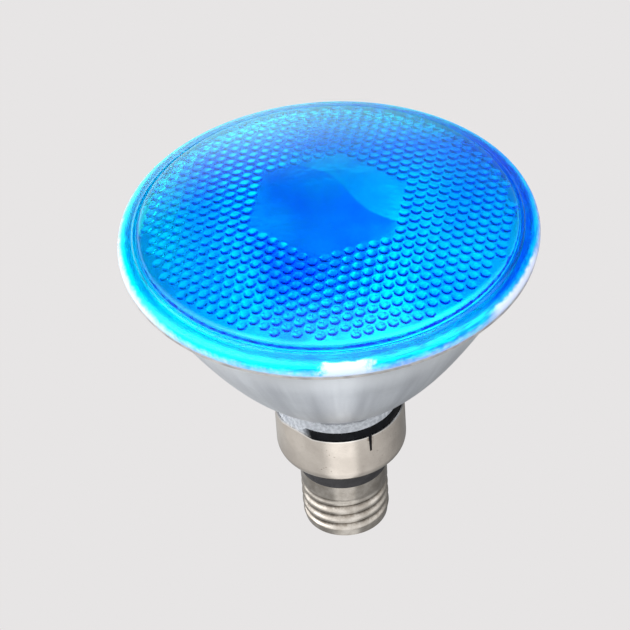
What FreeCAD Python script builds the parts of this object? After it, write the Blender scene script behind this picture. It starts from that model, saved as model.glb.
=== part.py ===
import FreeCAD, Part
import math, os

# Reflector spotlight lamp with a domed stippled lens, a medium skirt and an
# E27 screw base.  Millimetres.  +Z runs along the lamp's axis from the centre
# contact to the lens; the origin is the middle of the contact's lowest face.

V = FreeCAD.Vector

# ----------------------------------------------------------------- dimensions
SEAM_Z = 113.0          # height of the seam between lens and reflector
RIM_R = 60.75           # widest radius, on the lens edge
LENS_EDGE_H = 3.3       # height of the lens edge above the seam
DOME_H = 13.4           # lens apex above the seam
DOME_R = 54.2           # radius at which the dome ends in a short shoulder
DOME_FOOT_H = 6.6       # height of the dome's edge above the seam
LENS_T = 2.7            # glass thickness at the middle of the lens
LENS_IN_R = 54.8        # radius of the lens's inner dome

FLANGE_R = 60.25        # reflector flange
FLANGE_T = 1.25         # its thickness at the edge
OUT_VERTEX = 61.0       # outer paraboloid's vertex below the seam
OUT_4F = 54.0           # four focal lengths of the outer paraboloid
IN_VERTEX = 57.5        # inner paraboloid's vertex below the seam
IN_R = 53.4             # mouth radius of the inner paraboloid
BOWL_END_R = 57.3       # where the bowl meets the flange
NECK_R = 18.0           # glass neck
NECK_IN_R = 15.2
NECK_BOTTOM = 42.0      # height of the neck's end above the contact
FLOOR_Z = 51.6          # underside of the reflector's floor

FERRULE_X = 9.0         # half the spacing of the two ferrules
FERRULE_R = 2.0
POST_R = 0.75           # lead posts
POST_TIP_X = 6.2
EXHAUST_R = 2.4

SKIRT_R = 19.5          # 39 mm skirt
SKIRT_TOP = 51.0        # 51 mm from the contact to the skirt's edge
SKIRT_T = 0.45
SKIRT_CYL_BOTTOM = 37.8
SKIRT_CORNER = 4.0
SKIRT_HOLE_R = 11.6

RING_R = 13.35          # insulating ring
SHELL_TOP = 26.4
SHELL_CREST_R = 13.15   # E27 thread, 26.3 mm over the crests
SHELL_ROOT_R = 12.15
SHELL_PITCH = 3.629     # 7 threads to the inch
SHELL_T = 0.28
SHELL_BOTTOM = 6.1
CONTACT_R = 4.9

FOCUS_Z = SEAM_Z - IN_VERTEX + IN_R ** 2 / IN_VERTEX / 4.0
LENS_R_SPH = (DOME_R ** 2 + (DOME_H - DOME_FOOT_H) ** 2) / (2 * (DOME_H - DOME_FOOT_H))

os.makedirs("parts", exist_ok=True)
SHAPES = {}


# -------------------------------------------------------------------- helpers
def dome_z(r, top, radius):
    """Height above the seam of a spherical cap of that radius and top."""
    return top - radius + math.sqrt(radius * radius - r * r)


def profile_wire(segments):
    """Closed wire in the XZ plane.  Each item is a point (r, z), or a list of
    points for a smooth curve that joins its neighbours."""
    edges = []
    last = None
    first = None
    for item in segments:
        if isinstance(item, list):
            pts = [V(p[0], 0, p[1]) for p in item]
            if last is not None and (pts[0] - last).Length > 1e-6:
                edges.append(Part.LineSegment(last, pts[0]).toShape())
            curve = Part.BSplineCurve()
            curve.interpolate(pts)
            edges.append(curve.toShape())
            if first is None:
                first = pts[0]
            last = pts[-1]
        else:
            p = V(item[0], 0, item[1])
            if last is not None and (p - last).Length > 1e-6:
                edges.append(Part.LineSegment(last, p).toShape())
            if first is None:
                first = p
            last = p
    if (last - first).Length > 1e-6:
        edges.append(Part.LineSegment(last, first).toShape())
    return Part.Wire(edges)


def revolve(segments):
    face = Part.Face(profile_wire(segments))
    solid = face.revolve(V(0, 0, 0), V(0, 0, 1), 360)
    if solid.ShapeType != "Solid":
        solid = solid.Solids[0]
    if solid.Volume < 0:
        solid.reverse()
    return solid


def tube(points, radius, bend):
    """Round wire along straight runs joined by tangent arcs."""
    pts = [V(*p) for p in points]
    edges = []
    cur = pts[0]
    for i in range(1, len(pts) - 1):
        a, b, c = pts[i - 1], pts[i], pts[i + 1]
        u = (a - b).normalize()
        w = (c - b).normalize()
        ang = u.getAngle(w)
        t = bend / math.tan(ang / 2.0)
        p1 = b + u * t
        p2 = b + w * t
        mid_dir = (u + w).normalize()
        mid = b + mid_dir * (bend / math.sin(ang / 2.0) - bend)
        if (p1 - cur).Length > 1e-6:
            edges.append(Part.LineSegment(cur, p1).toShape())
        edges.append(Part.Arc(p1, mid, p2).toShape())
        cur = p2
    edges.append(Part.LineSegment(cur, pts[-1]).toShape())
    path = Part.Wire(edges)
    direction = (pts[1] - pts[0]).normalize()
    section = Part.Wire([Part.Circle(pts[0], direction, radius).toShape()])
    body = path.makePipeShell([section], True, True)
    if body.ShapeType != "Solid":
        body = body.Solids[0]
    if body.Volume < 0:
        body.reverse()
    return body


def single(shape):
    if shape.ShapeType == "Solid":
        return shape
    return shape.Solids[0] if len(shape.Solids) == 1 else shape


def keep(name, shape):
    SHAPES[name] = single(shape)


# ----------------------------------------------------------------------- lens
S = SEAM_Z
outer_dome = [(0.0, S + DOME_H)] + [
    (r, S + dome_z(r, DOME_H, LENS_R_SPH)) for r in (8, 16, 24, 31, 37, 42.5, 47.5, 51.2, DOME_R)]
in_top = DOME_H - LENS_T
in_sph = LENS_R_SPH - LENS_T
inner_dome = [(r, S + dome_z(r, in_top, in_sph)) for r in (LENS_IN_R, 51, 46, 40, 32, 24, 16, 8)] + [(0.0, S + in_top)]
lens = revolve([
    outer_dome,
    [(DOME_R, S + DOME_FOOT_H), (54.58, S + 6.32), (54.82, S + 5.85), (55.0, S + 5.3), (55.25, S + 5.02),
     (55.5, S + 5.06), (55.8, S + 5.22), (56.15, S + 5.22), (56.5, S + 4.9)],
    [(56.5, S + 4.9), (57.6, S + 4.6), (59.0, S + 4.18), (59.9, S + 3.72), (60.4, S + 3.0),
     (RIM_R, S + 1.7), (60.62, S + 0.6), (60.35, S)],
    (55.4, S),
    (54.9, S + 0.6),
    inner_dome,
])
keep("lens", lens)

# ------------------------------------------------------------------ reflector
def out_z(r):
    return S - OUT_VERTEX + r * r / OUT_4F


def in_z(r):
    return S - IN_VERTEX + r * r * IN_VERTEX / IN_R ** 2


neck_join = NECK_R + 1.3
flange_out = [(BOWL_END_R, S - FLANGE_T - 1.3), (57.75, S - FLANGE_T - 0.35), (58.7, S - FLANGE_T)]
bowl_out = [(r, out_z(r)) for r in (neck_join, 22, 26, 31, 36, 41, 46, 50.5, 54.5)] + [(BOWL_END_R, S - FLANGE_T - 1.3)]
reflector = revolve([
    (NECK_IN_R, NECK_BOTTOM + 0.6),
    (NECK_IN_R + 0.6, NECK_BOTTOM),
    (NECK_R - 0.6, NECK_BOTTOM),
    (NECK_R, NECK_BOTTOM + 0.6),
    (NECK_R, out_z(neck_join) - 1.6),
    [(NECK_R, out_z(neck_join) - 1.6), (NECK_R + 0.35, out_z(neck_join) - 0.75), (neck_join, out_z(neck_join))],
    bowl_out,
    flange_out,
    (FLANGE_R - 0.35, S - FLANGE_T),
    (FLANGE_R, S - FLANGE_T + 0.35),
    (FLANGE_R, S),
    (IN_R + 0.4, S),
    [(IN_R, in_z(IN_R))] + [(r, in_z(r)) for r in (48.5, 43, 37, 31, 25, 19, 13, 7)] + [(0.0, in_z(0.0))],
    (0.0, FLOOR_Z),
    (NECK_IN_R - 2.2, FLOOR_Z),
    [(NECK_IN_R - 2.2, FLOOR_Z), (NECK_IN_R - 0.7, FLOOR_Z - 0.6), (NECK_IN_R, FLOOR_Z - 2.2)],
])
for x in (-FERRULE_X, FERRULE_X):
    reflector = reflector.cut(Part.makeCylinder(FERRULE_R, 20, V(x, 0, FLOOR_Z - 8)))
reflector = reflector.cut(Part.makeCylinder(EXHAUST_R, 20, V(0, 0, FLOOR_Z - 8)))
keep("reflector", reflector)

# --------------------------------------- sealed exhaust tube in the floor
tube_top = in_z(EXHAUST_R) - 0.05
exhaust = revolve([
    (EXHAUST_R - 0.8, tube_top),
    (EXHAUST_R, tube_top),
    (EXHAUST_R, 46.6),
    [(EXHAUST_R, 46.6), (1.9, 45.3), (0.95, 44.2), (0.0, 43.6)],
    [(0.0, 44.9), (0.6, 45.4), (1.2, 46.1), (EXHAUST_R - 0.8, 47.2)],
])
keep("exhaust_tube", exhaust)

# ------------------------------------------- ferrules, posts and the filament
def ferrule(x):
    top = in_z(FERRULE_X + FERRULE_R) + 0.55
    body = revolve([
        (POST_R, top),
        (FERRULE_R - 0.25, top),
        (FERRULE_R, top - 0.25),
        (FERRULE_R, FLOOR_Z),
        (3.1, FLOOR_Z - 1.1),
        (3.1, FLOOR_Z - 1.5),
        (2.7, FLOOR_Z - 1.5),
        (FERRULE_R - 0.35, FLOOR_Z - 0.4),
        (FERRULE_R - 0.35, top - 0.9),
        (POST_R, top - 0.9),
    ])
    body.translate(V(x, 0, 0))
    return body


def braze(x):
    top = in_z(FERRULE_X + FERRULE_R) - 0.35
    body = revolve([
        (POST_R, top),
        (FERRULE_R - 0.35, top),
        (FERRULE_R - 0.35, FLOOR_Z - 0.1),
        (1.2, FLOOR_Z - 0.35),
        (POST_R, FLOOR_Z - 0.7),
    ])
    body.translate(V(x, 0, 0))
    return body


keep("ferrule_left", ferrule(-FERRULE_X))
keep("ferrule_right", ferrule(FERRULE_X))
keep("ferrule_braze_left", braze(-FERRULE_X))
keep("ferrule_braze_right", braze(FERRULE_X))

POST_FOOT = 46.5
for name, sx in (("lead_post_left", -1), ("lead_post_right", 1)):
    post = tube([(sx * FERRULE_X, 0, POST_FOOT), (sx * FERRULE_X, 0, FOCUS_Z - 5.5),
                 (sx * POST_TIP_X, 0, FOCUS_Z + 1.2)], POST_R, 2.2)
    keep(name, post)

# transverse coil between the tips of the two posts, at the reflector's focus
COIL_R, COIL_WIRE, COIL_PITCH, COIL_TURNS = 0.85, 0.17, 0.718, 16
coil_len = COIL_PITCH * COIL_TURNS
helix = Part.makeHelix(COIL_PITCH, coil_len, COIL_R)
start = V(COIL_R, 0, 0)
tangent = V(0, 2 * math.pi * COIL_R, COIL_PITCH).normalize()
coil_section = Part.Wire([Part.Circle(start, tangent, COIL_WIRE).toShape()])
coil = Part.Wire(helix.Edges).makePipeShell([coil_section], True, True)
coil = coil.Solids[0] if coil.ShapeType != "Solid" else coil
if coil.Volume < 0:
    coil.reverse()
coil.rotate(V(0, 0, 0), V(0, 1, 0), 90)
coil.translate(V(-coil_len / 2.0, 0, FOCUS_Z))
keep("filament", coil)

# ----------------------------------------------------- sealant under the bowl
sealant = revolve([
    (NECK_R, 44.6),
    (SKIRT_R - SKIRT_T, 44.6),
    (SKIRT_R - SKIRT_T, 50.2),
    [(SKIRT_R - SKIRT_T, 50.2), (18.78, 51.2), (18.4, 52.3), (NECK_R, 53.2)],
])

# ------------------------------------------------------------------ the skirt
def corner(r_out, z_c, rad, n=7):
    """Quarter arc from the cylinder down to the flat bottom."""
    return [(r_out - rad + rad * math.cos(a), z_c - rad * math.sin(a))
            for a in [math.pi / 2 * i / (n - 1) for i in range(n)]]


def bulk(r_out, rad, z_bottom, z_top):
    """Solid drum with a rounded lower corner."""
    pts = corner(r_out, z_bottom + rad, rad)
    return revolve([(0.0, z_top), (r_out, z_top), pts, (0.0, z_bottom)])


skirt_bottom = SKIRT_CYL_BOTTOM - SKIRT_CORNER
drum_out = bulk(SKIRT_R, SKIRT_CORNER, skirt_bottom, SKIRT_TOP)
drum_in = bulk(SKIRT_R - SKIRT_T, SKIRT_CORNER - SKIRT_T, skirt_bottom + SKIRT_T, SKIRT_TOP + 2)

# crimped flat in the upper edge: a leaning chord that fades out lower down
FLAT_AZ = math.radians(-90 - 45.5)      # middle of the flat, left of the front
FLAT_HALF = math.radians(18.4)
FLAT_FADE = 7.5
flat_depth = SKIRT_R * (1 - math.cos(FLAT_HALF))
lean = math.degrees(math.atan2(flat_depth, FLAT_FADE))


def beyond_flat(inset):
    """Block outside the leaning chord plane, moved in by the sheet's gauge."""
    block = Part.makeBox(30, 60, 60)
    block.translate(V(0, -30, -30))
    block.rotate(V(0, 0, 0), V(0, 1, 0), -lean)
    block.translate(V(SKIRT_R - flat_depth - inset, 0, SKIRT_TOP))
    block.rotate(V(0, 0, 0), V(0, 0, 1), math.degrees(FLAT_AZ))
    return block


drum_out = drum_out.cut(beyond_flat(0.0))
drum_in_cut = drum_in.cut(beyond_flat(SKIRT_T))
skirt = drum_out.cut(drum_in_cut)
skirt = skirt.cut(Part.makeCylinder(SKIRT_HOLE_R, 10, V(0, 0, skirt_bottom - 3)))

# narrow tapered slot in the upper edge, right of the front
SLOT_AZ = -90 + 25.0
slot = Part.Face(Part.makePolygon([
    V(15, -0.62, SKIRT_TOP + 1), V(15, 0.62, SKIRT_TOP + 1), V(15, 0.5, SKIRT_TOP - 1.2),
    V(15, 0.33, SKIRT_TOP - 5.8), V(15, -0.33, SKIRT_TOP - 5.8), V(15, -0.5, SKIRT_TOP - 1.2),
    V(15, -0.62, SKIRT_TOP + 1)])).extrude(V(8, 0, 0))
slot.rotate(V(0, 0, 0), V(0, 0, 1), SLOT_AZ)
skirt = skirt.cut(slot)
keep("skirt", skirt)

sealant = sealant.cut(beyond_flat(SKIRT_T))
neck_core = Part.makeCylinder(NECK_R, 30, V(0, 0, 35))
sealant = sealant.cut(neck_core)
keep("neck_sealant", sealant)

# ------------------------------------------------------------ insulating ring
shell_in = SHELL_CREST_R - SHELL_T
ring_top = skirt_bottom
ring = revolve([
    (9.6, SHELL_TOP - 2.6),
    (shell_in - 0.5, SHELL_TOP - 2.6),
    (shell_in - 0.02, SHELL_TOP - 2.2),
    (shell_in - 0.02, SHELL_TOP),
    (RING_R - 0.2, SHELL_TOP),
    (RING_R, SHELL_TOP + 0.2),
    (RING_R, ring_top),
    (SKIRT_HOLE_R, ring_top),
    (SKIRT_HOLE_R, ring_top + SKIRT_T),
    (SKIRT_HOLE_R + 1.6, ring_top + SKIRT_T),
    (SKIRT_HOLE_R + 1.4, ring_top + SKIRT_T + 1.2),
    (9.6, ring_top + SKIRT_T + 1.2),
])
keep("insulating_ring", ring)

# ------------------------------------------------------- threaded screw shell
THREAD_HI = 21.6        # the rolled thread runs out into the collar here
THREAD_LO = 8.6
GROOVE_REF_Z = 17.6     # a groove's height at the front of the lamp
GROOVE_REF_AZ = -math.pi / 2
amp = (SHELL_CREST_R - SHELL_ROOT_R) / 2.0


def smooth(t):
    t = max(0.0, min(1.0, t))
    return t * t * (3 - 2 * t)


def shell_r(theta, z):
    """Radius of the shell's outer face: a right-hand knuckle thread."""
    phase = 2 * math.pi * (z - GROOVE_REF_Z) / SHELL_PITCH - (theta - GROOVE_REF_AZ)
    wave = math.cos(phase)                         # 1 in the groove
    env = smooth((THREAD_HI - z) / 2.2) * smooth((z - THREAD_LO + 1.6) / 2.4)
    taper = 0.55 * smooth((8.8 - z) / 2.6)
    return SHELL_CREST_R - amp * env * (1 + wave) - taper


def threaded_core(offset, z_hi, z_lo, n_theta=48, n_z=56):
    """Solid core whose side is the threaded face, moved in by the offset."""
    rows = []
    for i in range(n_theta + 1):
        th = 2 * math.pi * i / n_theta
        if i == n_theta:
            rows.append(list(rows[0]))
            continue
        row = []
        for j in range(n_z + 1):
            z = z_lo + (z_hi - z_lo) * j / n_z
            r = shell_r(th, z) - offset
            row.append(V(r * math.cos(th), r * math.sin(th), z))
        rows.append(row)
    surf = Part.BSplineSurface()
    surf.interpolate(rows)
    side = surf.toShape()
    ends = []
    for z in (z_lo, z_hi):
        es = [e for e in side.Edges if abs(e.BoundBox.ZMax - z) < 1e-4 and abs(e.BoundBox.ZMin - z) < 1e-4]
        ends.append(Part.Face(Part.Wire(es)))
    skin = Part.makeShell([side] + ends)
    skin.sewShape()
    core = Part.makeSolid(skin)
    if core.Volume < 0:
        core.reverse()
    return core


shell = threaded_core(0.0, SHELL_TOP, SHELL_BOTTOM).cut(
    threaded_core(SHELL_T, SHELL_TOP + 1.0, SHELL_BOTTOM - 1.0, n_z=62))
keep("screw_shell", shell)

# ------------------------------------------------ base insulator and contact
lip_r = SHELL_CREST_R - 0.55 - SHELL_T
insulator = revolve([
    (1.1, 1.3),
    (5.5, 1.3),
    [(5.5, 1.3), (6.4, 2.0), (8.6, 3.9), (10.6, 5.2), (12.1, 5.75)],
    (lip_r + 0.13, SHELL_BOTTOM - 0.12),
    (lip_r + 0.13, SHELL_BOTTOM),
    (lip_r - 0.02, SHELL_BOTTOM),
    (lip_r - 0.02, SHELL_BOTTOM + 1.1),
    (lip_r - 1.4, SHELL_BOTTOM + 3.0),
    (3.4, SHELL_BOTTOM + 2.6),
    (1.1, SHELL_BOTTOM + 0.4),
])
keep("base_insulator", insulator)

contact = revolve([
    (1.1, 0.35),
    (1.5, 0.0),
    (3.4, 0.0),
    [(3.4, 0.0), (4.3, 0.22), (CONTACT_R, 0.95)],
    (CONTACT_R, 1.3),
    (1.1, 1.3),
])
keep("centre_contact", contact)

eyelet_r = 1.5 - 0.4 * 0.06 / 0.35        # on the eyelet's chamfer
centre_solder = revolve([
    (0.4, 2.0),
    (1.1, 2.0),
    (1.1, 0.35),
    (eyelet_r, 0.06),
    [(eyelet_r, 0.06), (0.8, 0.03), (0.0, 0.02)],
    (0.0, 0.6),
    (0.4, 0.6),
])
keep("centre_solder", centre_solder)

# ----------------------------------------------- leads inside the hollow cap
LEAD_R = 0.4
LEAD_X = FERRULE_X - POST_R - LEAD_R    # each lead lies against its post
FUSE_TOP, FUSE_BOTTOM = 35.0, 21.0
fused_lead = tube([(-LEAD_X, 0, POST_FOOT + 2.0), (-LEAD_X, 0, 42.0), (-4.0, 0, 39.4),
                   (-4.0, 0, FUSE_TOP)], LEAD_R, 1.2)
keep("fused_lead", fused_lead)
fuse = revolve([(0.0, FUSE_BOTTOM), (1.2, FUSE_BOTTOM), (1.5, FUSE_BOTTOM + 0.5), (1.5, FUSE_TOP - 0.5),
                (1.2, FUSE_TOP), (0.0, FUSE_TOP)])
fuse.translate(V(-4.0, 0, 0))
keep("fuse", fuse)
contact_lead = tube([(-4.0, 0, FUSE_BOTTOM), (-4.0, 0, 16.0), (0, 0, 12.0), (0, 0, 0.6)], LEAD_R, 1.2)
keep("contact_lead", contact_lead)

WELD_Z = 22.5
wall_in = SHELL_CREST_R - SHELL_T
shell_lead = tube([(LEAD_X, 0, POST_FOOT + 2.0), (LEAD_X, 0, WELD_Z), (wall_in - 0.35, 0, WELD_Z)], LEAD_R, 1.2)
keep("shell_lead", shell_lead)
weld = Part.makeCylinder(0.85, 1.6, V(wall_in - 1.25, 0, WELD_Z), V(1, 0, 0))
weld = weld.common(Part.makeCylinder(wall_in, 6, V(0, 0, WELD_Z - 3))).cut(shell_lead)
keep("shell_weld", weld)

# --------------------------------------------------------------------- output
for name, shape in SHAPES.items():
    shape.exportStep("parts/%s.step" % name)
    b = shape.BoundBox
    print("%-20s %-9s n=%d valid=%s vol=%.1f  z %.2f..%.2f  x %.2f..%.2f" % (
        name, shape.ShapeType, len(shape.Solids), shape.isValid(), shape.Volume, b.ZMin, b.ZMax, b.XMin, b.XMax))
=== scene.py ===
import math

import bpy
import numpy as np
from mathutils import Matrix, Vector


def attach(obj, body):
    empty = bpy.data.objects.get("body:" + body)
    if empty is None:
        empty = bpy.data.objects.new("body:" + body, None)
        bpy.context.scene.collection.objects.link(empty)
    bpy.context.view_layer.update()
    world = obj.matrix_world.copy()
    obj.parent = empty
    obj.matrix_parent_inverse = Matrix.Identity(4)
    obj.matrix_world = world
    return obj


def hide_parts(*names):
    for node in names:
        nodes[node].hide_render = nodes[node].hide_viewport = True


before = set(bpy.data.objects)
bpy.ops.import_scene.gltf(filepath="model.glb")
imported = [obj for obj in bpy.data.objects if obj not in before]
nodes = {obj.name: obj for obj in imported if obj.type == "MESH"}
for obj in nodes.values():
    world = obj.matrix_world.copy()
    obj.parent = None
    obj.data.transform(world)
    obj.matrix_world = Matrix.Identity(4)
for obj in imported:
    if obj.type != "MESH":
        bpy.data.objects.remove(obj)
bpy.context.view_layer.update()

# Looks of a blue reflector spotlight bulb.  Metres in the scene; the profile
# tables below are millimetres, with heights counted from the lens seam.
MM = 0.001
SEAM = 113.0
RNG = np.random.default_rng(38)

scene = bpy.context.scene
scene.view_settings.view_transform = "Standard"
scene.cycles.use_denoising = True
scene.cycles.max_bounces = 20
scene.cycles.transmission_bounces = 20
scene.cycles.glossy_bounces = 16
scene.cycles.diffuse_bounces = 4
scene.cycles.transparent_max_bounces = 16


# ------------------------------------------------------------ node shorthands
def N(t, kind, ins=None, **props):
    node = t.nodes.new("ShaderNode" + kind)
    for k, v in props.items():
        setattr(node, k, v)
    for k, v in (ins or {}).items():
        s = node.inputs[k]
        if isinstance(v, bpy.types.NodeSocket):
            t.links.new(v, s)
        else:
            s.default_value = v
    return node


def math_(t, op, a, b=0.0, c=0.0, clamp=False):
    return N(t, "Math", {0: a, 1: b, 2: c}, operation=op, use_clamp=clamp).outputs[0]


def step(t, v, lo, hi, a=0.0, b=1.0):
    """Smooth ramp from a to b as v goes from lo to hi."""
    return N(t, "MapRange", {"Value": v, "From Min": lo, "From Max": hi, "To Min": a, "To Max": b},
             interpolation_type="SMOOTHSTEP").outputs[0]


def line(t, v, lo, hi, a=0.0, b=1.0):
    return N(t, "MapRange", {"Value": v, "From Min": lo, "From Max": hi, "To Min": a, "To Max": b}).outputs[0]


def mix(t, fac, a, b):
    return N(t, "Mix", {0: fac, 6: a, 7: b}, data_type="RGBA").outputs[2]


def noise(t, vec, scale, detail=3.0, rough=0.55, dist=0.0):
    return N(t, "TexNoise", {"Vector": vec, "Scale": scale, "Detail": detail, "Roughness": rough,
                             "Distortion": dist}).outputs[0]


def ramp(t, v, *stops):
    r = N(t, "ValToRGB", {0: v})
    e = r.color_ramp.elements
    while len(e) < len(stops):
        e.new(0.5)
    for el, (pos, col) in zip(e, stops):
        el.position = pos
        el.color = (*col, 1.0)
    return r.outputs[0]


def bump(t, height, strength, distance):
    return N(t, "Bump", {"Height": height, "Strength": strength, "Distance": distance}).outputs[0]


def material(name):
    m = bpy.data.materials.new(name)
    m.use_nodes = True
    m.node_tree.nodes.clear()
    return m, m.node_tree


def coords(t):
    """Object coordinates in millimetres: vector, x, y, z, radius and azimuth."""
    p = N(t, "VectorMath", {0: N(t, "TexCoord").outputs["Object"], 3: 1000.0}, operation="SCALE").outputs[0]
    s = N(t, "SeparateXYZ", {0: p})
    x, y, z = s.outputs
    r = math_(t, "SQRT", math_(t, "ADD", math_(t, "MULTIPLY", x, x), math_(t, "MULTIPLY", y, y)))
    az = math_(t, "ARCTAN2", y, x)
    return p, x, y, z, r, az


def principled(t, ins):
    b = N(t, "BsdfPrincipled", ins)
    N(t, "OutputMaterial", {"Surface": b.outputs[0]})
    return b


def srgb(*c):
    return tuple((v / 255.0 / 12.92 if v <= 10 else ((v / 255.0 + 0.055) / 1.055) ** 2.4) for v in c)


def rgba(*c):
    return (*srgb(*c), 1.0)


def put(name, m):
    data = nodes[name].data
    data.materials.clear()
    data.materials.append(m)


# ------------------------------------------------------------------ materials
def metal(name, dark, light, rough=(0.2, 0.36), scale=0.6, fine=6.0, pits=0.0, stretch=(1, 1, 1), bumpiness=0.02,
          extra=None):
    """Metal with cloudy colour, fine wear in the roughness and small pits."""
    m, t = material(name)
    p, x, y, z, r, az = coords(t)
    sp = N(t, "Mapping", {0: p, 3: stretch}).outputs[0]
    cloud = noise(t, sp, scale, 4.0)
    grain = noise(t, sp, fine, 3.0, 0.6)
    col = mix(t, step(t, cloud, 0.3, 0.7), (*dark, 1.0), (*light, 1.0))
    ro = line(t, grain, 0.3, 0.7, *rough)
    h = grain
    if pits:
        vor = N(t, "TexVoronoi", {"Vector": p, "Scale": 1.1, "Randomness": 1.0}).outputs["Distance"]
        spot = step(t, vor, 0.03, 0.1, 1.0, 0.0)
        rare = step(t, noise(t, p, 0.9, 2.0), 0.56, 0.66)
        spot = math_(t, "MULTIPLY", spot, rare)
        spot = math_(t, "MULTIPLY", spot, pits)
        col = mix(t, spot, col, (dark[0] * 0.25, dark[1] * 0.22, dark[2] * 0.2, 1.0))
        ro = math_(t, "ADD", ro, math_(t, "MULTIPLY", spot, 0.3))
        h = math_(t, "SUBTRACT", h, math_(t, "MULTIPLY", spot, 3.0))
    if extra:
        col, ro = extra(t, p, x, y, z, r, az, col, ro)
    principled(t, {"Base Color": col, "Metallic": 1.0, "Roughness": ro,
                   "Normal": bump(t, h, 0.35, bumpiness * MM)})
    return m


def skirt_extra(t, p, x, y, z, r, az, col, ro):
    # brownish lines where the sheet is bent, and dark brown beside the notch
    deg = math_(t, "MULTIPLY", az, 180.0 / math.pi)
    wob = math_(t, "MULTIPLY", math_(t, "SUBTRACT", noise(t, p, 0.35, 3.0), 0.5), 5.0)
    bow = math_(t, "MULTIPLY", math_(t, "SUBTRACT", z, 44.0), 0.55)
    line1 = math_(t, "ABSOLUTE", math_(t, "ADD", math_(t, "ADD", deg, 9.0), math_(t, "ADD", wob, bow)))
    crease = step(t, line1, 0.6, 2.6, 1.0, 0.0)
    crease = math_(t, "MULTIPLY", crease, step(t, z, 36.0, 40.0))
    notch = math_(t, "ABSOLUTE", math_(t, "ADD", deg, 65.0))
    notch_brown = math_(t, "MULTIPLY", step(t, notch, 1.4, 4.2, 1.0, 0.0), step(t, z, 46.6, 50.4))
    notch_brown = math_(t, "MULTIPLY", notch_brown, step(t, noise(t, p, 1.3, 4.0), 0.38, 0.6))
    # painted highlight: the top lip of the skirt is painted near-white
    lip = step(t, z, 50.35, 50.8)
    both = math_(t, "MAXIMUM", math_(t, "MULTIPLY", crease, 0.75), math_(t, "MULTIPLY", notch_brown, 0.8))
    pit = step(t, N(t, "TexVoronoi", {"Vector": p, "Scale": 0.75}).outputs["Distance"], 0.1, 0.17, 1.0, 0.0)
    pit = math_(t, "MULTIPLY", pit, step(t, noise(t, p, 0.16, 3.0), 0.5, 0.62))
    both = math_(t, "MAXIMUM", both, math_(t, "MULTIPLY", pit, 0.6))
    col = mix(t, both, col, (0.13, 0.075, 0.04, 1.0))
    col = mix(t, math_(t, "MULTIPLY", lip, 0.7), col, (0.95, 0.93, 0.9, 1.0))
    ro = math_(t, "ADD", ro, math_(t, "MULTIPLY", both, 0.2))
    return col, ro


def shell_extra(t, p, x, y, z, r, az, col, ro):
    # painted shade: brownish darkening in the thread grooves
    low = step(t, r, 12.2, 12.75, 1.0, 0.0)
    low = math_(t, "MULTIPLY", low, step(t, z, 8.0, 10.0))
    low = math_(t, "MULTIPLY", low, step(t, noise(t, p, 0.8, 3.0), 0.3, 0.62))
    col = mix(t, math_(t, "MULTIPLY", low, 0.65), col, (0.2, 0.165, 0.13, 1.0))
    return col, ro


nickel_skirt = metal("nickel_skirt", (0.62, 0.565, 0.51), (0.76, 0.70, 0.635), (0.11, 0.2), 0.12, 3.0, 0.9,
                     extra=skirt_extra)
nickel_shell = metal("nickel_shell", (0.38, 0.348, 0.31), (0.58, 0.545, 0.5), (0.12, 0.24), 0.25, 4.0, 1.0,
                     extra=shell_extra)
nickel_iron = metal("nickel_iron", (0.38, 0.37, 0.35), (0.55, 0.53, 0.5), (0.28, 0.42), 0.8, 7.0)
tungsten = metal("tungsten", (0.2, 0.2, 0.21), (0.34, 0.34, 0.35), (0.3, 0.45), 2.0, 9.0)
braze = metal("braze", (0.62, 0.4, 0.2), (0.8, 0.58, 0.34), (0.25, 0.4), 0.9, 6.0)
brass = metal("contact_brass", (0.55, 0.4, 0.19), (0.76, 0.58, 0.3), (0.22, 0.38), 0.5, 5.0, 0.5)
solder = metal("solder", (0.5, 0.5, 0.5), (0.72, 0.72, 0.7), (0.22, 0.45), 1.2, 4.0, bumpiness=0.06)
lead_wire = metal("lead_wire", (0.42, 0.25, 0.15), (0.6, 0.4, 0.26), (0.28, 0.45), 1.0, 6.0, stretch=(1, 1, 0.2))


def dark_material(name, a, b, rough, scale, h_scale, h_mm, coat=0.0, ior=1.5):
    m, t = material(name)
    p, x, y, z, r, az = coords(t)
    c = noise(t, p, scale, 4.0, 0.6)
    g = noise(t, p, h_scale, 3.0, 0.6)
    principled(t, {"Base Color": mix(t, step(t, c, 0.3, 0.7), (*a, 1.0), (*b, 1.0)),
                   "Roughness": line(t, g, 0.3, 0.7, *rough), "IOR": ior, "Coat Weight": coat,
                   "Coat Roughness": 0.08, "Normal": bump(t, g, 0.5, h_mm * MM)})
    return m


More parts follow.
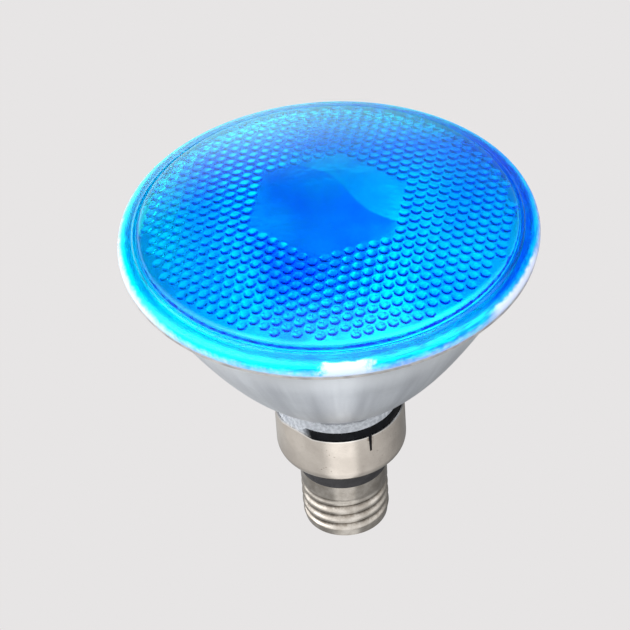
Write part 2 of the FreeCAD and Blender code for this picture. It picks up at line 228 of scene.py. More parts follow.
def sealant_material():
    """Black sealant, with glaze from the neck smeared over it on the left."""
    m, t = material("black_sealant")
    p, x, y, z, r, az = coords(t)
    c = noise(t, p, 0.5, 4.0, 0.6)
    g = noise(t, p, 0.7, 3.0, 0.6)
    dark = mix(t, step(t, c, 0.3, 0.7), (0.001, 0.0014, 0.0022, 1.0), (0.004, 0.005, 0.0075, 1.0))
    ragged = math_(t, "MULTIPLY_ADD", math_(t, "SUBTRACT", noise(t, p, 0.9, 4.0, 0.65), 0.5), 2.2, r)
    smear = math_(t, "MULTIPLY", step(t, x, -9.0, -13.0), step(t, ragged, 19.4, 18.9))
    smear = math_(t, "MULTIPLY", smear, step(t, z, 50.0, 50.5))
    lumps = math_(t, "MULTIPLY", step(t, c, 0.6, 0.68), step(t, ragged, 17.6, 16.6, 0.0, 0.6))
    smear = math_(t, "MAXIMUM", smear, lumps)
    glaze = mix(t, step(t, noise(t, p, 0.9, 4.0), 0.35, 0.65), rgba(150, 155, 163), rgba(190, 195, 202))
    principled(t, {"Base Color": mix(t, smear, dark, glaze), "Roughness": line(t, g, 0.3, 0.7, 0.14, 0.3), "IOR": 1.35,
                   "Specular IOR Level": 0.22,
                   "Normal": bump(t, g, 0.5, 0.25 * MM)})
    return m


black_sealant = sealant_material()
black_ring = dark_material("black_ring", (0.015, 0.015, 0.018), (0.03, 0.03, 0.034), (0.5, 0.7), 0.4, 4.0, 0.03)
black_glass = dark_material("black_glass", (0.006, 0.006, 0.009), (0.02, 0.018, 0.024), (0.06, 0.2), 0.3, 0.8, 0.08,
                            coat=0.5)


def clear_glass(name, tint_a, tint_b, rough):
    m, t = material(name)
    p, x, y, z, r, az = coords(t)
    c = noise(t, p, 0.25, 3.0)
    g = noise(t, p, 1.2, 2.0)
    principled(t, {"Base Color": mix(t, c, (*tint_a, 1.0), (*tint_b, 1.0)), "Transmission Weight": 1.0, "IOR": 1.5,
                   "Roughness": line(t, g, 0.3, 0.7, *rough), "Normal": bump(t, g, 0.2, 0.02 * MM)})
    return m


tube_glass = clear_glass("tube_glass", (0.95, 0.97, 0.97), (0.86, 0.92, 0.91), (0.0, 0.05))
fuse_glass = clear_glass("fuse_glass", (0.93, 0.96, 0.93), (0.82, 0.9, 0.85), (0.02, 0.08))


def reflector_material():
    """Mirror inside, silvered glass outside, matte neck, bare flange edge."""
    m, t = material("silvered_glass")
    p, x, y, z, r, az = coords(t)
    zr = math_(t, "SUBTRACT", z, SEAM)
    r2 = math_(t, "MULTIPLY", r, r)
    mid = math_(t, "MULTIPLY_ADD", r2, 0.019342, -59.25)
    inside = math_(t, "MULTIPLY", math_(t, "GREATER_THAN", zr, mid), math_(t, "LESS_THAN", r, 53.6))
    inside = math_(t, "MULTIPLY", inside, math_(t, "GREATER_THAN", z, 52.0))
    around = N(t, "CombineXYZ", {0: math_(t, "MULTIPLY", az, 9.0), 1: math_(t, "MULTIPLY", r, 0.03), 2: 0.0}).outputs[0]
    streak = noise(t, around, 0.75, 3.0, 0.5)
    cloud = noise(t, p, 0.06, 4.0, 0.55)
    fine = noise(t, p, 1.6, 3.0, 0.6)
    silver = mix(t, step(t, streak, 0.25, 0.75), rgba(174, 180, 190), rgba(212, 218, 226))
    silver = mix(t, math_(t, "MULTIPLY", step(t, cloud, 0.35, 0.7), 0.5), silver, rgba(176, 182, 189))
    # matte band round the neck with a ragged upper edge and lumps of glaze
    edge = math_(t, "MULTIPLY_ADD", math_(t, "SUBTRACT", noise(t, p, 0.55, 4.0, 0.7), 0.5), 3.4, 56.6)
    neck = step(t, math_(t, "SUBTRACT", z, edge), -0.25, 0.35, 1.0, 0.0)
    speck = step(t, N(t, "TexVoronoi", {"Vector": p, "Scale": 1.25}).outputs["Distance"], 0.1, 0.22, 1.0, 0.0)
    speck = math_(t, "MULTIPLY", speck, step(t, z, 55.2, 60.0, 1.0, 0.0))
    frost = mix(t, step(t, noise(t, p, 0.9, 4.0), 0.35, 0.65), rgba(160, 165, 173), rgba(194, 199, 206))
    # painted light and shade: the silver is painted lighter towards the rim and darker low on the bowl by the neck
    silver = mix(t, step(t, zr, -20.0, -8.0, 0.0, 0.6), silver, rgba(218, 223, 229))
    silver = mix(t, math_(t, "MULTIPLY", step(t, z, 57.0, 66.0, 1.0, 0.0), 0.8), silver, rgba(118, 121, 127))
    outer = mix(t, math_(t, "MAXIMUM", neck, math_(t, "MULTIPLY", speck, 0.5)), silver, frost)
    # bare edge of the flange
    rim = math_(t, "MULTIPLY", step(t, r, 57.35, 57.8), math_(t, "GREATER_THAN", zr, -3.4))
    beige = mix(t, step(t, noise(t, p, 0.3, 3.0, 0.45), 0.3, 0.7), rgba(142, 140, 139), rgba(176, 173, 171))
    outer = mix(t, rim, outer, beige)
    # painted highlight: the flange top under the lens is painted near-white for the light the bare glass edge of the
    # lens gathers
    top = math_(t, "MULTIPLY", math_(t, "GREATER_THAN", zr, -0.04), math_(t, "GREATER_THAN", r, 53.6))
    outer = mix(t, top, outer, rgba(236, 236, 238))
    mirror = mix(t, step(t, cloud, 0.3, 0.7), (0.90, 0.905, 0.91, 1.0), (0.94, 0.94, 0.94, 1.0))
    col = mix(t, inside, outer, mirror)
    matte = math_(t, "MAXIMUM", math_(t, "MAXIMUM", neck, rim), top)
    matte = math_(t, "MULTIPLY", matte, math_(t, "SUBTRACT", 1.0, inside))
    bare = math_(t, "SUBTRACT", 1.0, inside)
    met = math_(t, "SUBTRACT", 1.0, math_(t, "MULTIPLY", math_(t, "MULTIPLY_ADD", matte, 0.55, 0.37), bare))
    ro_out = line(t, fine, 0.3, 0.7, 0.3, 0.42)
    ro_out = math_(t, "ADD", ro_out, math_(t, "MULTIPLY", matte, 0.25))
    ro_in = line(t, fine, 0.3, 0.7, 0.17, 0.23)
    ro = math_(t, "ADD", math_(t, "MULTIPLY", ro_out, math_(t, "SUBTRACT", 1.0, inside)),
               math_(t, "MULTIPLY", ro_in, inside))
    h = math_(t, "ADD", math_(t, "MULTIPLY", fine, math_(t, "MULTIPLY_ADD", matte, 4.0, 0.4)),
              math_(t, "MULTIPLY", streak, 1.2))
    h = math_(t, "MULTIPLY", h, math_(t, "SUBTRACT", 1.0, inside))
    principled(t, {"Base Color": col, "Metallic": met, "Roughness": ro, "Normal": bump(t, h, 0.4, 0.03 * MM)})
    return m


def lacquer_material():
    """Clear glass under a sprayed blue film that thins out at the rim; the film's density also paints light, shade and
    reflection.
    """
    m, t = material("blue_lacquer")
    p, x, y, z, r, az = coords(t)
    deg = math_(t, "MULTIPLY", az, 180.0 / math.pi)
    rag = noise(t, p, 0.5, 5.0, 0.68)
    zr = math_(t, "SUBTRACT", z, SEAM)
    u = math_(t, "MULTIPLY_ADD", zr, -0.35, r)               # grows outwards and down over the rounded edge
    ragged = math_(t, "MULTIPLY_ADD", math_(t, "SUBTRACT", rag, 0.5), 2.0, u)
    frosted = math_(t, "MULTIPLY", step(t, x, -46, -56, 0.0, 0.6), step(t, y, -32, -10))
    ragged = math_(t, "ADD", ragged, frosted)
    thin = step(t, math_(t, "MULTIPLY_ADD", step(t, y, -30, -46), -1.0, ragged), 58.4, 60.6, 1.0, 0.0)
    cloud = noise(t, p, 0.045, 3.0)
    spray = noise(t, p, 1.1, 4.0, 0.65)
    # film density with painted light, shade and reflection: thick below the middle, thin at the left, the back and the
    # right, in patches that paint the light and dark areas of the lens; only the cloud and the fine grain are the
    # film's own
    def add(a, b, k):
        return math_(t, "MULTIPLY_ADD", b, k, a)

    def both(a, b):
        return math_(t, "MULTIPLY", a, b)

    film_and_painted_light = add(1.58, step(t, cloud, 0.3, 0.7), 0.14)
    film_and_painted_light = add(film_and_painted_light, step(t, r, 18.5, 24.0), -0.33)
    film_and_painted_light = add(film_and_painted_light, step(t, noise(t, p, 2.2, 3.0, 0.6), 0.38, 0.62), 0.2)
    film_and_painted_light = add(film_and_painted_light, both(step(t, x, -31, -50), step(t, y, -28, 0, 0.35, 1.0)), 1.05)
    film_and_painted_light = add(film_and_painted_light, both(step(t, x, -40, -48), step(t, y, -16, 16)), 0.35)
    film_and_painted_light = add(film_and_painted_light, step(t, x, -49, -54), 0.45)
    film_and_painted_light = add(film_and_painted_light, both(both(step(t, y, -6, 14), step(t, x, 0, 12)), step(t, x, 46, 30)), 0.22)
    film_and_painted_light = add(film_and_painted_light, step(t, y, 26, 50), 1.35)
    mid = both(step(t, math_(t, "ABSOLUTE", math_(t, "ADD", x, 3.0)), 20, 4, 0.0, 1.0),
               step(t, math_(t, "ABSOLUTE", math_(t, "SUBTRACT", y, 17.0)), 20, 4, 0.0, 1.0))
    film_and_painted_light = add(film_and_painted_light, mid, 0.62)
    mid = both(step(t, math_(t, "ABSOLUTE", math_(t, "ADD", x, -1.0)), 10, 3, 0.0, 1.0),
               step(t, math_(t, "ABSOLUTE", math_(t, "ADD", y, 4.0)), 20, 8, 0.0, 1.0))
    film_and_painted_light = add(film_and_painted_light, mid, 0.3)
    wing = both(step(t, math_(t, "ABSOLUTE", math_(t, "SUBTRACT", math_(t, "ABSOLUTE", x), 20.5)), 9, 3, 0.0, 1.0),
                step(t, math_(t, "ABSOLUTE", math_(t, "ADD", y, 9.0)), 18, 7, 0.0, 1.0))
    film_and_painted_light = add(film_and_painted_light, wing, -0.32)
    film_and_painted_light = add(film_and_painted_light, both(step(t, x, 14, 30), step(t, y, 14, 32)), -0.35)
    film_and_painted_light = add(film_and_painted_light, both(step(t, x, 18, 34), step(t, y, -22, -38)), -0.55)
    front = both(both(step(t, y, -14, -30), step(t, x, -26, -14)), step(t, x, 22, 34, 1.0, 0.4))
    film_and_painted_light = add(film_and_painted_light, front, -0.36)
    # painted reflection: an S-shaped edge across the middle, darker film on one side and lighter on the other
    s_edge_along = math_(t, "ADD", math_(t, "MULTIPLY_ADD", x, 0.670, 6.25 * 0.670), math_(t, "MULTIPLY_ADD", y, -0.742, 18.5 * 0.742))
    s_edge_across = math_(t, "ADD", math_(t, "MULTIPLY_ADD", x, -0.742, -6.25 * 0.742), math_(t, "MULTIPLY_ADD", y, -0.670, 18.5 * 0.670))
    wavy = math_(t, "MULTIPLY_ADD", math_(t, "SINE", math_(t, "MULTIPLY", s_edge_along, 2 * math.pi / 38.0)), 2.2, s_edge_across)
    s_edge_shade = both(both(step(t, wavy, -0.6, 0.6), step(t, wavy, 24, 14)), both(step(t, r, 24, 19), step(t, x, -20, -14)))
    film_and_painted_light = add(film_and_painted_light, both(s_edge_shade, step(t, x, 10, -12, 0.88, 0.84)), -0.86)
    lit = both(step(t, wavy, 0.6, -0.6), step(t, r, 24, 20))
    film_and_painted_light = add(film_and_painted_light, lit, 0.42)
    film_and_painted_light = add(film_and_painted_light, both(lit, step(t, x, 16, 2, 0, 1)), 0.4)
    # painted shade: the dark V below the middle
    vee_shade = both(both(step(t, x, -25, -16), step(t, x, 1, -8)), both(step(t, y, -40, -30), step(t, y, -6, -16)))
    film_and_painted_light = add(film_and_painted_light, vee_shade, -0.38)
    green = math_(t, "MINIMUM", math_(t, "MULTIPLY", both(film_and_painted_light, film_and_painted_light), 0.142), 0.8)
    green = math_(t, "MULTIPLY_ADD", step(t, spray, 0.35, 0.75), -0.02, green)
    film = N(t, "CombineColor", {"Red": 0.0, "Green": green, "Blue": 1.0}).outputs[0]
    # paler film on the rim, which also paints the bright cyan glow of the rim; least on the right, painted shade where
    # less light falls
    right = math_(t, "MULTIPLY", step(t, deg, -62.0, -28.0), step(t, deg, 62.0, 110.0, 1.0, 0.0))
    pale = math_(t, "MULTIPLY", step(t, r, 52.6, 55.0), math_(t, "MULTIPLY_ADD", right, -0.62, 1.0))
    film = mix(t, pale, film, (0.0, 0.8, 1.0, 1.0))
    # runs along the rim
    around = N(t, "CombineXYZ", {0: math_(t, "MULTIPLY", az, 9.0), 1: math_(t, "MULTIPLY", u, 1.6), 2: 0.0}).outputs[0]
    run = both(step(t, noise(t, around, 1.0, 4.0, 0.6), 0.42, 0.6), step(t, r, 53.0, 56.0))
    film = mix(t, both(run, step(t, x, -25, 25, 0.42, 0.85)), film, (0.0, 0.24, 1.0, 1.0))
    # film missed on the right of the rim, and in a patch at the front
    bare = math_(t, "MULTIPLY", step(t, deg, -46.0, -40.0), step(t, deg, -20.0, -12.0, 1.0, 0.0))
    bare = math_(t, "MULTIPLY", bare, step(t, ragged, 58.2, 59.4))
    torn = math_(t, "MULTIPLY_ADD", math_(t, "SUBTRACT", rag, 0.5), 9.0, deg)
    patch = math_(t, "MULTIPLY", step(t, torn, -96.0, -92.5), step(t, torn, -84.0, -80.0, 1.0, 0.0))
    patch = math_(t, "MULTIPLY", patch, step(t, ragged, 57.1, 57.9))
    bare = math_(t, "MAXIMUM", bare, patch)
    cover = math_(t, "MULTIPLY", thin, math_(t, "SUBTRACT", 1.0, math_(t, "MULTIPLY", bare, 0.92)))
    col = mix(t, cover, (0.97, 0.98, 1.0, 1.0), film)
    g = noise(t, p, 0.5, 3.0)
    wave = noise(t, p, 0.07, 2.0)
    # light turned back inside the glass, or met at a flat angle, takes the colour of the film
    total = N(t, "Fresnel", {"IOR": 1.5}).outputs[0]
    turned = both(both(step(t, total, 0.13, 0.4), step(t, r, 56.0, 53.5)), 0.95)
    # the rounded outer edge is ground and scatters light
    principled(t, {"Base Color": col, "Transmission Weight": step(t, ragged, 56.4, 58.4, 1.0, 0.35), "IOR": 1.5,
                   "Metallic": turned,
                   "Specular Tint": (0.22, 0.5, 0.9, 1.0),
                   "Roughness": line(t, g, 0.3, 0.7, 0.0, 0.035),
                   "Normal": bump(t, math_(t, "MULTIPLY_ADD", wave, 4.0, g), 0.25, 0.05 * MM)})
    return m


def inner_glass_material():
    m, t = material("lens_inner_glass")
    p, x, y, z, r, az = coords(t)
    c = noise(t, p, 0.12, 3.0)
    g = noise(t, p, 1.4, 2.0)
    principled(t, {"Base Color": mix(t, c, (0.985, 0.99, 1.0, 1.0), (0.95, 0.97, 0.99, 1.0)),
                   "Transmission Weight": 1.0, "IOR": 1.5, "Roughness": line(t, g, 0.3, 0.7, 0.07, 0.13),
                   "Normal": bump(t, g, 0.15, 0.02 * MM)})
    return m


def edge_glass_material():
    """Ground outer edge of the lens, left bare of film."""
    m, t = material("lens_edge_glass")
    p, x, y, z, r, az = coords(t)
    c = noise(t, p, 0.35, 4.0, 0.6)
    g = noise(t, p, 2.0, 3.0)
    principled(t, {"Base Color": mix(t, step(t, c, 0.3, 0.7), rgba(214, 218, 223), rgba(240, 243, 246)),
                   "Transmission Weight": 0.4, "IOR": 1.5, "Roughness": line(t, g, 0.3, 0.7, 0.1, 0.25),
                   "Normal": bump(t, g, 0.3, 0.03 * MM)})
    return m


silvered = reflector_material()
edge_glass = edge_glass_material()
lacquer = lacquer_material()
inner_glass = inner_glass_material()

for name, m in (("reflector", silvered), ("exhaust_tube", tube_glass), ("ferrule_left", nickel_iron),
                ("ferrule_right", nickel_iron), ("ferrule_braze_left", braze), ("ferrule_braze_right", braze),
                ("lead_post_left", nickel_iron), ("lead_post_right", nickel_iron), ("filament", tungsten),
                ("skirt", nickel_skirt), ("neck_sealant", black_sealant), ("insulating_ring", black_ring),
                ("screw_shell", nickel_shell), ("base_insulator", black_glass), ("centre_contact", brass),
                ("centre_solder", solder), ("fused_lead", lead_wire), ("fuse", fuse_glass),
                ("contact_lead", lead_wire), ("shell_lead", lead_wire), ("shell_weld", solder),
                ("lens", lacquer)):
    put(name, m)

# ------------------------------------------------------------- the glass lens
# inner face: a fine triangular grid lined up with the stipple
APEX_IN, R_IN, R_EDGE = 10.7, 216.70, 54.8
LATTICE = ((0.331878 + 1.79606j), (3.47826 + 1.10906j), (0.013334 - 0.00437j), (-0.000269 + 0.000373j),
           (0.000005 + 0.000733j), (0.000115 + 0.000154j))
BUMP_H, BUMP_R, FILLET = 0.62, 1.52, 0.035
SUB = 9


def lattice_point(L):
    c0, a, b, aa, ab, bb = LATTICE
    Lc = np.conj(L)
    return c0 + a * L + b * Lc + aa * L * L + ab * L * Lc + bb * Lc * Lc


def sphere_z(r2):
    return APEX_IN - R_IN + np.sqrt(R_IN * R_IN - r2)


bi, bj = np.meshgrid(np.arange(-17, 18), np.arange(-17, 18), indexing="ij")
bi, bj = bi.ravel(), bj.ravel()
ring = np.maximum(np.maximum(abs(bi), abs(bj)), abs(bi + bj))
BL = bi + 0.5 * bj + 1j * bj * math.sqrt(3) / 2
keep = (ring >= 7) & (abs(BL) <= 14.21)
centres = lattice_point(BL[keep])
jit = RNG.normal(0, 1, (len(centres), 4))
centres = centres + 0.02 * (jit[:, 0] + 1j * jit[:, 1])
heights = BUMP_H * (1 + 0.03 * jit[:, 2])
radii = BUMP_R * (1 + 0.012 * jit[:, 3])

span = 17 * SUB
gi, gj = np.meshgrid(np.arange(-span, span + 1), np.arange(-span, span + 1), indexing="ij")
L = (gi + 0.5 * gj) / SUB + 1j * gj * math.sqrt(3) / 2 / SUB
W = lattice_point(L)
inside = abs(W) <= R_EDGE - 0.02
a, b, c, d = inside[:-1, :-1], inside[1:, :-1], inside[:-1, 1:], inside[1:, 1:]
idx = np.arange(W.size).reshape(W.shape)
t1 = np.stack([idx[:-1, :-1], idx[1:, :-1], idx[:-1, 1:]], -1)[a & b & c]
t2 = np.stack([idx[1:, :-1], idx[1:, 1:], idx[:-1, 1:]], -1)[b & c & d]
tri = np.concatenate([t1, t2])
# drop stray corner triangles whose two edges are both on the boundary
while True:
    e = np.sort(np.concatenate([tri[:, [0, 1]], tri[:, [1, 2]], tri[:, [2, 0]]]), 1)
    key = e[:, 0].astype(np.int64) * W.size + e[:, 1]
    _, inv, cnt = np.unique(key, return_inverse=True, return_counts=True)
    free = (cnt[inv] == 1).reshape(3, -1).sum(0)
    if (free < 2).all():
        break
    tri = tri[free < 2]
used = np.unique(tri)
remap = np.full(W.size, -1)
remap[used] = np.arange(len(used))
tri = remap[tri]
w = W.ravel()[used]
# boundary loop, snapped to the circle and evened out
e = np.concatenate([tri[:, [0, 1]], tri[:, [1, 2]], tri[:, [2, 0]]])
s = np.sort(e, 1)
key = s[:, 0].astype(np.int64) * len(used) + s[:, 1]
_, inv, cnt = np.unique(key, return_inverse=True, return_counts=True)
be = e[cnt[inv] == 1]
follow = dict(zip(be[:, 0].tolist(), be[:, 1].tolist()))
loop = [int(be[0, 0])]
while follow[loop[-1]] != loop[0]:
    loop.append(follow[loop[-1]])
loop = np.array(loop)
ang = np.unwrap(np.angle(w[loop]))
if ang[-1] < ang[0]:
    loop = loop[::-1]
    ang = np.unwrap(np.angle(w[loop]))
for _ in range(12):
    prev = np.roll(ang, 1); prev[0] -= 2 * math.pi
    nxt = np.roll(ang, -1); nxt[-1] += 2 * math.pi
    ang = 0.5 * ang + 0.25 * (prev + nxt)
w[loop] = R_EDGE * np.exp(1j * ang)

wx, wy = w.real, w.imag
r2 = wx * wx + wy * wy
h = np.zeros(len(w))
gx = np.zeros(len(w))
gy = np.zeros(len(w))
for cc, hh, aa in zip(centres, heights, radii):
    dx, dy = wx - cc.real, wy - cc.imag
    near = np.nonzero((abs(dx) < aa + 0.5) & (abs(dy) < aa + 0.5))[0]
    dx, dy = dx[near], dy[near]
    rho = np.sqrt(dx * dx + dy * dy) + 1e-9
    R = (aa * aa + hh * hh) / (2 * hh)
    q = np.minimum(rho, 0.93 * R)
    root = np.sqrt(R * R - q * q)
    zc = root - (R - hh) - (rho - q) * q / root
    slope = -q / root
    val = FILLET * np.logaddexp(0, zc / FILLET)
    sig = 1 / (1 + np.exp(-np.clip(zc / FILLET, -60, 60)))
    h[near] += val
    gx[near] += sig * slope * dx / rho
    gy[near] += sig * slope * dy / rho
# slight unevenness of pressed glass
for lam, amp, n in ((7.0, 0.012, 10), (2.6, 0.0045, 16), (1.35, 0.0016, 22)):
    for _ in range(n):
        th, ph = RNG.uniform(0, 2 * math.pi, 2)
        k = 2 * math.pi / (lam * RNG.uniform(0.75, 1.35))
        kx, ky = k * math.cos(th), k * math.sin(th)
        A = amp * math.sqrt(2.0 / n) * 1.4
        arg = kx * wx + ky * wy + ph
        h += A * np.sin(arg)
        gx += A * kx * np.cos(arg)
        gy += A * ky * np.cos(arg)
fade = np.clip((R_EDGE - np.sqrt(r2)) / 0.6, 0, 1)
h, gx, gy = h * fade, gx * fade, gy * fade
root = np.sqrt(R_IN * R_IN - r2)
inner_co = np.stack([wx, wy, sphere_z(r2) - h], 1)
# outward normal of the glass on the inner face points down
inner_n = np.stack([-wx / root - gx, -wy / root - gy, -np.ones(len(w))], 1)
inner_n /= np.linalg.norm(inner_n, axis=1)[:, None]

# revolved part: wall, seat, flange, step and outer dome, up to the apex
DOME_R, DOME_H, FOOT = 54.2, 13.4, 6.6
SPH = (DOME_R ** 2 + (DOME_H - FOOT) ** 2) / (2 * (DOME_H - FOOT))


def smooth_curve(pts, n):
    """Catmull-Rom points through a short open list."""
    pts = np.array(pts, float)
    ext = np.vstack([2 * pts[0] - pts[1], pts, 2 * pts[-1] - pts[-2]])
    out = []
    for k in range(len(pts) - 1):
        p0, p1, p2, p3 = ext[k:k + 4]
        for u in np.arange(n) / n:
            out.append(0.5 * (2 * p1 + (p2 - p0) * u + (2 * p0 - 5 * p1 + 4 * p2 - p3) * u * u
                              + (3 * p1 - p0 - 3 * p2 + p3) * u ** 3))
    out.append(pts[-1])
    return np.array(out)


flange = smooth_curve([(60.35, 0.02), (60.62, 0.6), (60.745, 1.7), (60.4, 3.0), (59.9, 3.72), (59.0, 4.18),
                       (57.6, 4.6), (56.5, 4.9), (56.15, 5.2), (55.8, 5.22), (55.5, 5.06), (55.25, 5.02),
                       (55.0, 5.3), (54.82, 5.85), (54.58, 6.32), (54.2, 6.6)], 3)
dome_r = np.array([53.2, 52.0, 50.4, 48.4, 46.0, 43.0, 39.6, 36.0, 32.0, 28.0, 24.0, 20.0, 16.0, 12.0, 8.0, 4.0])
dome = np.stack([dome_r, DOME_H - SPH + np.sqrt(SPH ** 2 - dome_r ** 2)], 1)
profile = np.vstack([[(54.9, 0.6), (55.4, 0.02)], flange, dome])
profile[:, 0] = np.minimum(profile[:, 0], 60.745)
NP = len(profile)
NSEG = 300
th = 2 * math.pi * np.arange(NSEG) / NSEG
rev = np.stack([profile[:, 0][:, None] * np.cos(th), profile[:, 0][:, None] * np.sin(th),
                np.repeat(profile[:, 1][:, None], NSEG, 1)], -1).reshape(-1, 3)
seg = np.diff(profile, axis=0)
seg_n = np.stack([seg[:, 1], -seg[:, 0]], 1)
seg_n /= np.linalg.norm(seg_n, axis=1)[:, None]
start_n, end_n = seg_n.copy(), seg_n.copy()
for k in range(1, len(seg)):
    if seg_n[k - 1] @ seg_n[k] > math.cos(math.radians(33)):
        v = seg_n[k - 1] + seg_n[k]
        v /= np.linalg.norm(v)
        end_n[k - 1] = v
        start_n[k] = v
exact = np.stack([dome_r, np.sqrt(SPH ** 2 - dome_r ** 2)], 1) / SPH
first_dome = 2 + len(flange)
for k in range(len(dome_r)):
    end_n[first_dome - 1 + k] = exact[k]
    if first_dome + k < len(start_n):
        start_n[first_dome + k] = exact[k]

n_in = len(w)
faces, fn, fm = [], [], []


def spin(n2, k):
    return (n2[0] * math.cos(th[k % NSEG]), n2[0] * math.sin(th[k % NSEG]), n2[1])


# inner grid: winding so that the face looks down
v = inner_co[tri]
flip = np.cross(v[:, 1] - v[:, 0], v[:, 2] - v[:, 0])[:, 2] > 0
tri[flip] = tri[flip][:, ::-1]
tri_normals = inner_n[tri].reshape(-1, 3)

quads = []
q_normals = []
for k in range(NP - 1):
    base0, base1 = n_in + k * NSEG, n_in + (k + 1) * NSEG
    i0 = np.arange(NSEG)
    i1 = (i0 + 1) % NSEG
    quads.append(np.stack([base0 + i0, base0 + i1, base1 + i1, base1 + i0], 1))
    cs = np.stack([np.cos(th), np.sin(th)], 1)
    n0 = np.stack([start_n[k, 0] * cs[:, 0], start_n[k, 0] * cs[:, 1], np.full(NSEG, start_n[k, 1])], 1)
    n1 = np.stack([end_n[k, 0] * cs[:, 0], end_n[k, 0] * cs[:, 1], np.full(NSEG, end_n[k, 1])], 1)
    q_normals.append(np.stack([n0[i0], n0[i1], n1[i1], n1[i0]], 1).reshape(-1, 3))
quads = np.concatenate(quads)
q_normals = np.concatenate(q_normals)
apex = n_in + len(rev)
last = n_in + (NP - 1) * NSEG
i0 = np.arange(NSEG)
i1 = (i0 + 1) % NSEG
caps = np.stack([last + i0, last + i1, np.full(NSEG, apex)], 1)
cs = np.stack([np.cos(th), np.sin(th)], 1)
ne = np.stack([exact[-1, 0] * cs[:, 0], exact[-1, 0] * cs[:, 1], np.full(NSEG, exact[-1, 1])], 1)
cap_n = np.stack([ne[i0], ne[i1], np.tile((0.0, 0.0, 1.0), (NSEG, 1))], 1).reshape(-1, 3)

# wall between the inner face's loop and the first ring, zipped by angle
M = len(loop)
rot = int(np.argmin(np.mod(ang, 2 * math.pi)))
loop = np.roll(loop, -rot)
la = np.mod(np.roll(ang, -rot), 2 * math.pi)
wall, i, j = [], 0, 0
while i < M or j < NSEG:
    ai = la[i + 1] if i + 1 < M else la[(i + 1) % M] + 2 * math.pi
    aj = th[j + 1] if j + 1 < NSEG else th[(j + 1) % NSEG] + 2 * math.pi
    if j >= NSEG or (i < M and ai <= aj):
        wall.append((loop[i % M], loop[(i + 1) % M], n_in + j % NSEG))
        i += 1
    else:
        wall.append((loop[i % M], n_in + (j + 1) % NSEG, n_in + j % NSEG))
        j += 1
wall = np.array(wall)
co = np.vstack([inner_co, rev, [(0.0, 0.0, DOME_H)]])
v = co[wall]
nrm = np.cross(v[:, 1] - v[:, 0], v[:, 2] - v[:, 0])
mid = v.mean(1)
flip = (nrm[:, 0] * mid[:, 0] + nrm[:, 1] * mid[:, 1]) > 0      # the wall faces the axis
wall[flip] = wall[flip][:, ::-1]
wv = co[wall]
wall_n = -np.stack([wv[..., 0], wv[..., 1], np.zeros(wv.shape[:2])], -1).reshape(-1, 3) / R_EDGE
wall_n /= np.linalg.norm(wall_n, axis=1)[:, None]

co = co + np.array([0, 0, SEAM])
mesh = bpy.data.meshes.new("lens_glass")
mesh.from_pydata((co * MM).tolist(), [], tri.tolist() + wall.tolist() + quads.tolist() + caps.tolist())
mesh.polygons.foreach_set("use_smooth", np.ones(len(mesh.polygons), bool))
mesh.materials.append(lacquer)
mesh.materials.append(inner_glass)
mesh.materials.append(edge_glass)
mi = np.zeros(len(mesh.polygons), np.int32)
mi[:len(tri) + len(wall) + NSEG] = 1
edge = np.nonzero((profile[:-1, 0] > 60.0) & (profile[1:, 1] < 0.9))[0]     # lowest rows of the outer edge
for k in edge:
    first = len(tri) + len(wall) + k * NSEG
    mi[first:first + NSEG] = 2
mesh.polygons.foreach_set("material_index", mi)
mesh.update()
mesh.normals_split_custom_set(np.vstack([tri_normals, wall_n, q_normals, cap_n]).tolist())
lens = bpy.data.objects.new("lens_glass", mesh)
scene.collection.objects.link(lens)
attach(lens, "root")
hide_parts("lens")

# ---------------------------------------------------------------- camera
E, D, F, ROLL, TX, TY = math.radians(40.494), 990.007, 3447.291, math.radians(-4.016), -5.5, -21.831
right = Vector((1, 0, 0))
up = Vector((0, math.sin(E), math.cos(E)))
away = Vector((0, -math.cos(E), math.sin(E)))
cam_x = math.cos(ROLL) * right + math.sin(ROLL) * up
cam_y = -math.sin(ROLL) * right + math.cos(ROLL) * up
place = away * D + right * TX + up * TY + Vector((0, 0, SEAM))
cam_data = bpy.data.cameras.new("camera")
cam_data.sensor_width = 36.0
cam_data.lens = F * 36.0 / 630.0
cam_data.clip_start, cam_data.clip_end = 0.05, 20.0
cam = bpy.data.objects.new("camera", cam_data)
scene.collection.objects.link(cam)
m4 = Matrix.Identity(4)
for k in range(3):
    m4[k][0], m4[k][1], m4[k][2], m4[k][3] = cam_x[k], cam_y[k], away[k], place[k] * MM
cam.matrix_world = m4
scene.camera = cam

# ------------------------------------------------------------ floor and studio
BACK = rgba(231, 229, 229)
floor_mesh = bpy.data.meshes.new("floor")
h2 = 3.0
floor_mesh.from_pydata([(-h2, -h2, -0.0002), (h2, -h2, -0.0002), (h2, h2, -0.0002), (-h2, h2, -0.0002)], [],
                       [(0, 1, 2, 3)])
floor = bpy.data.objects.new("floor", floor_mesh)
scene.collection.objects.link(floor)
m, t = material("floor_pale")
p, x, y, z, r, az = coords(t)
seen = N(t, "LightPath").outputs["Is Camera Ray"]
off = math_(t, "MULTIPLY_ADD", az, 180.0 / math.pi, 90.0)           # degrees from the front, right positive
off = N(t, "Math", {0: off, 1: 180.0, 2: -180.0}, operation="WRAP").outputs[0]
strip = math_(t, "MULTIPLY", step(t, off, -34.0, -14.0), step(t, off, 13.0, 27.0, 1.0, 0.0))
plateau = math_(t, "MULTIPLY", step(t, off, 20.0, 120.0, 0.74, 0.3), step(t, off, -170.0, -60.0, 0.8, 1.0))
# painted shadow: the floor's glow is dimmer round the bulb's base, seen only in reflections
near = step(t, r, 26.0, 75.0, 0.62, 1.0)
glow = math_(t, "MULTIPLY", plateau, near)
glow = math_(t, "MULTIPLY_ADD", strip, 0.5, glow)
plain = N(t, "Emission", {"Color": BACK, "Strength": 1.0})
lit = N(t, "Emission", {"Color": (1.0, 0.995, 0.985, 1.0), "Strength": glow})
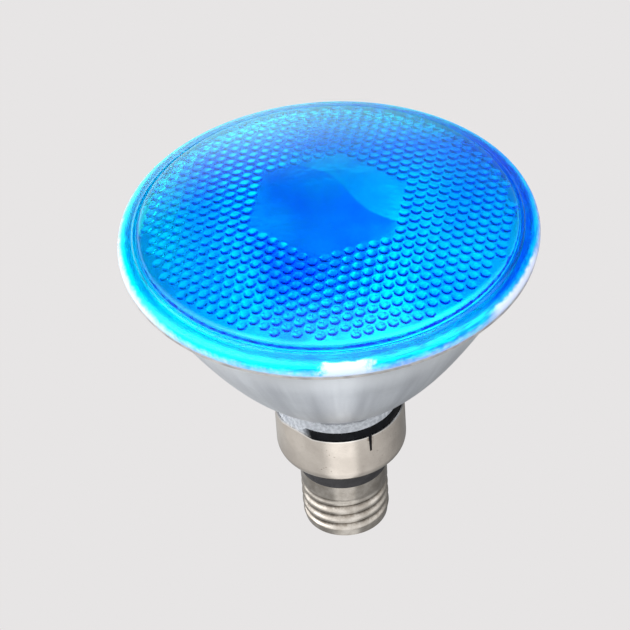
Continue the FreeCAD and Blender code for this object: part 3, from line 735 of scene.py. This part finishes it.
both = N(t, "MixShader", {0: seen, 1: lit.outputs[0], 2: plain.outputs[0]})
N(t, "OutputMaterial", {"Surface": both.outputs[0]})
floor_mesh.materials.append(m)

world = bpy.data.worlds.new("studio")
world.use_nodes = True
scene.world = world
t = world.node_tree
t.nodes.clear()
direction = N(t, "TexCoord").outputs["Generated"]


def toward(az_deg, el_deg):
    a, e = math.radians(az_deg), math.radians(el_deg)
    return (math.cos(e) * math.cos(a), math.cos(e) * math.sin(a), math.sin(e))


def box(az_deg, el_deg, inner, outer, level):
    dot = N(t, "VectorMath", {0: direction, 1: toward(az_deg, el_deg)}, operation="DOT_PRODUCT").outputs["Value"]
    return step(t, dot, math.cos(math.radians(outer)), math.cos(math.radians(inner)), 0.0, level)


dx, dy, height = N(t, "SeparateXYZ", {0: direction}).outputs
sides = math_(t, "MULTIPLY", line(t, dx, -1.0, 1.0, 1.7, 1.0), step(t, height, 0.0, 0.28, 0.6, 1.0))
behind = step(t, dy, 0.0, 0.45)
low = math_(t, "MULTIPLY", step(t, height, 0.26, 0.56, 1.0, 0.0), step(t, dx, 0.28, -0.12, 0.4, 2.2))
low = math_(t, "ADD", low, 0.04)
level = math_(t, "ADD", math_(t, "MULTIPLY", sides, math_(t, "SUBTRACT", 1.0, behind)),
              math_(t, "MULTIPLY", low, behind))
for args in ((-90, 84, 14, 38, 3.2),      # large soft box overhead
             (178, 48, 14, 36, 4.0),      # left
             (0, 50, 14, 34, 1.5)):       # right
    level = math_(t, "ADD", level, box(*args))
level = math_(t, "MULTIPLY", level, math_(t, "SUBTRACT", 1.0, box(-93, 41, 7, 17, 0.05)))    # dark behind the camera
seen = N(t, "LightPath").outputs["Is Camera Ray"]
flat = N(t, "Background", {"Color": BACK, "Strength": 1.0})
studio = N(t, "Background", {"Color": (1.0, 0.995, 0.99, 1.0), "Strength": level})
both = N(t, "MixShader", {0: seen, 1: studio.outputs[0], 2: flat.outputs[0]})
N(t, "OutputWorld", {"Surface": both.outputs[0]})
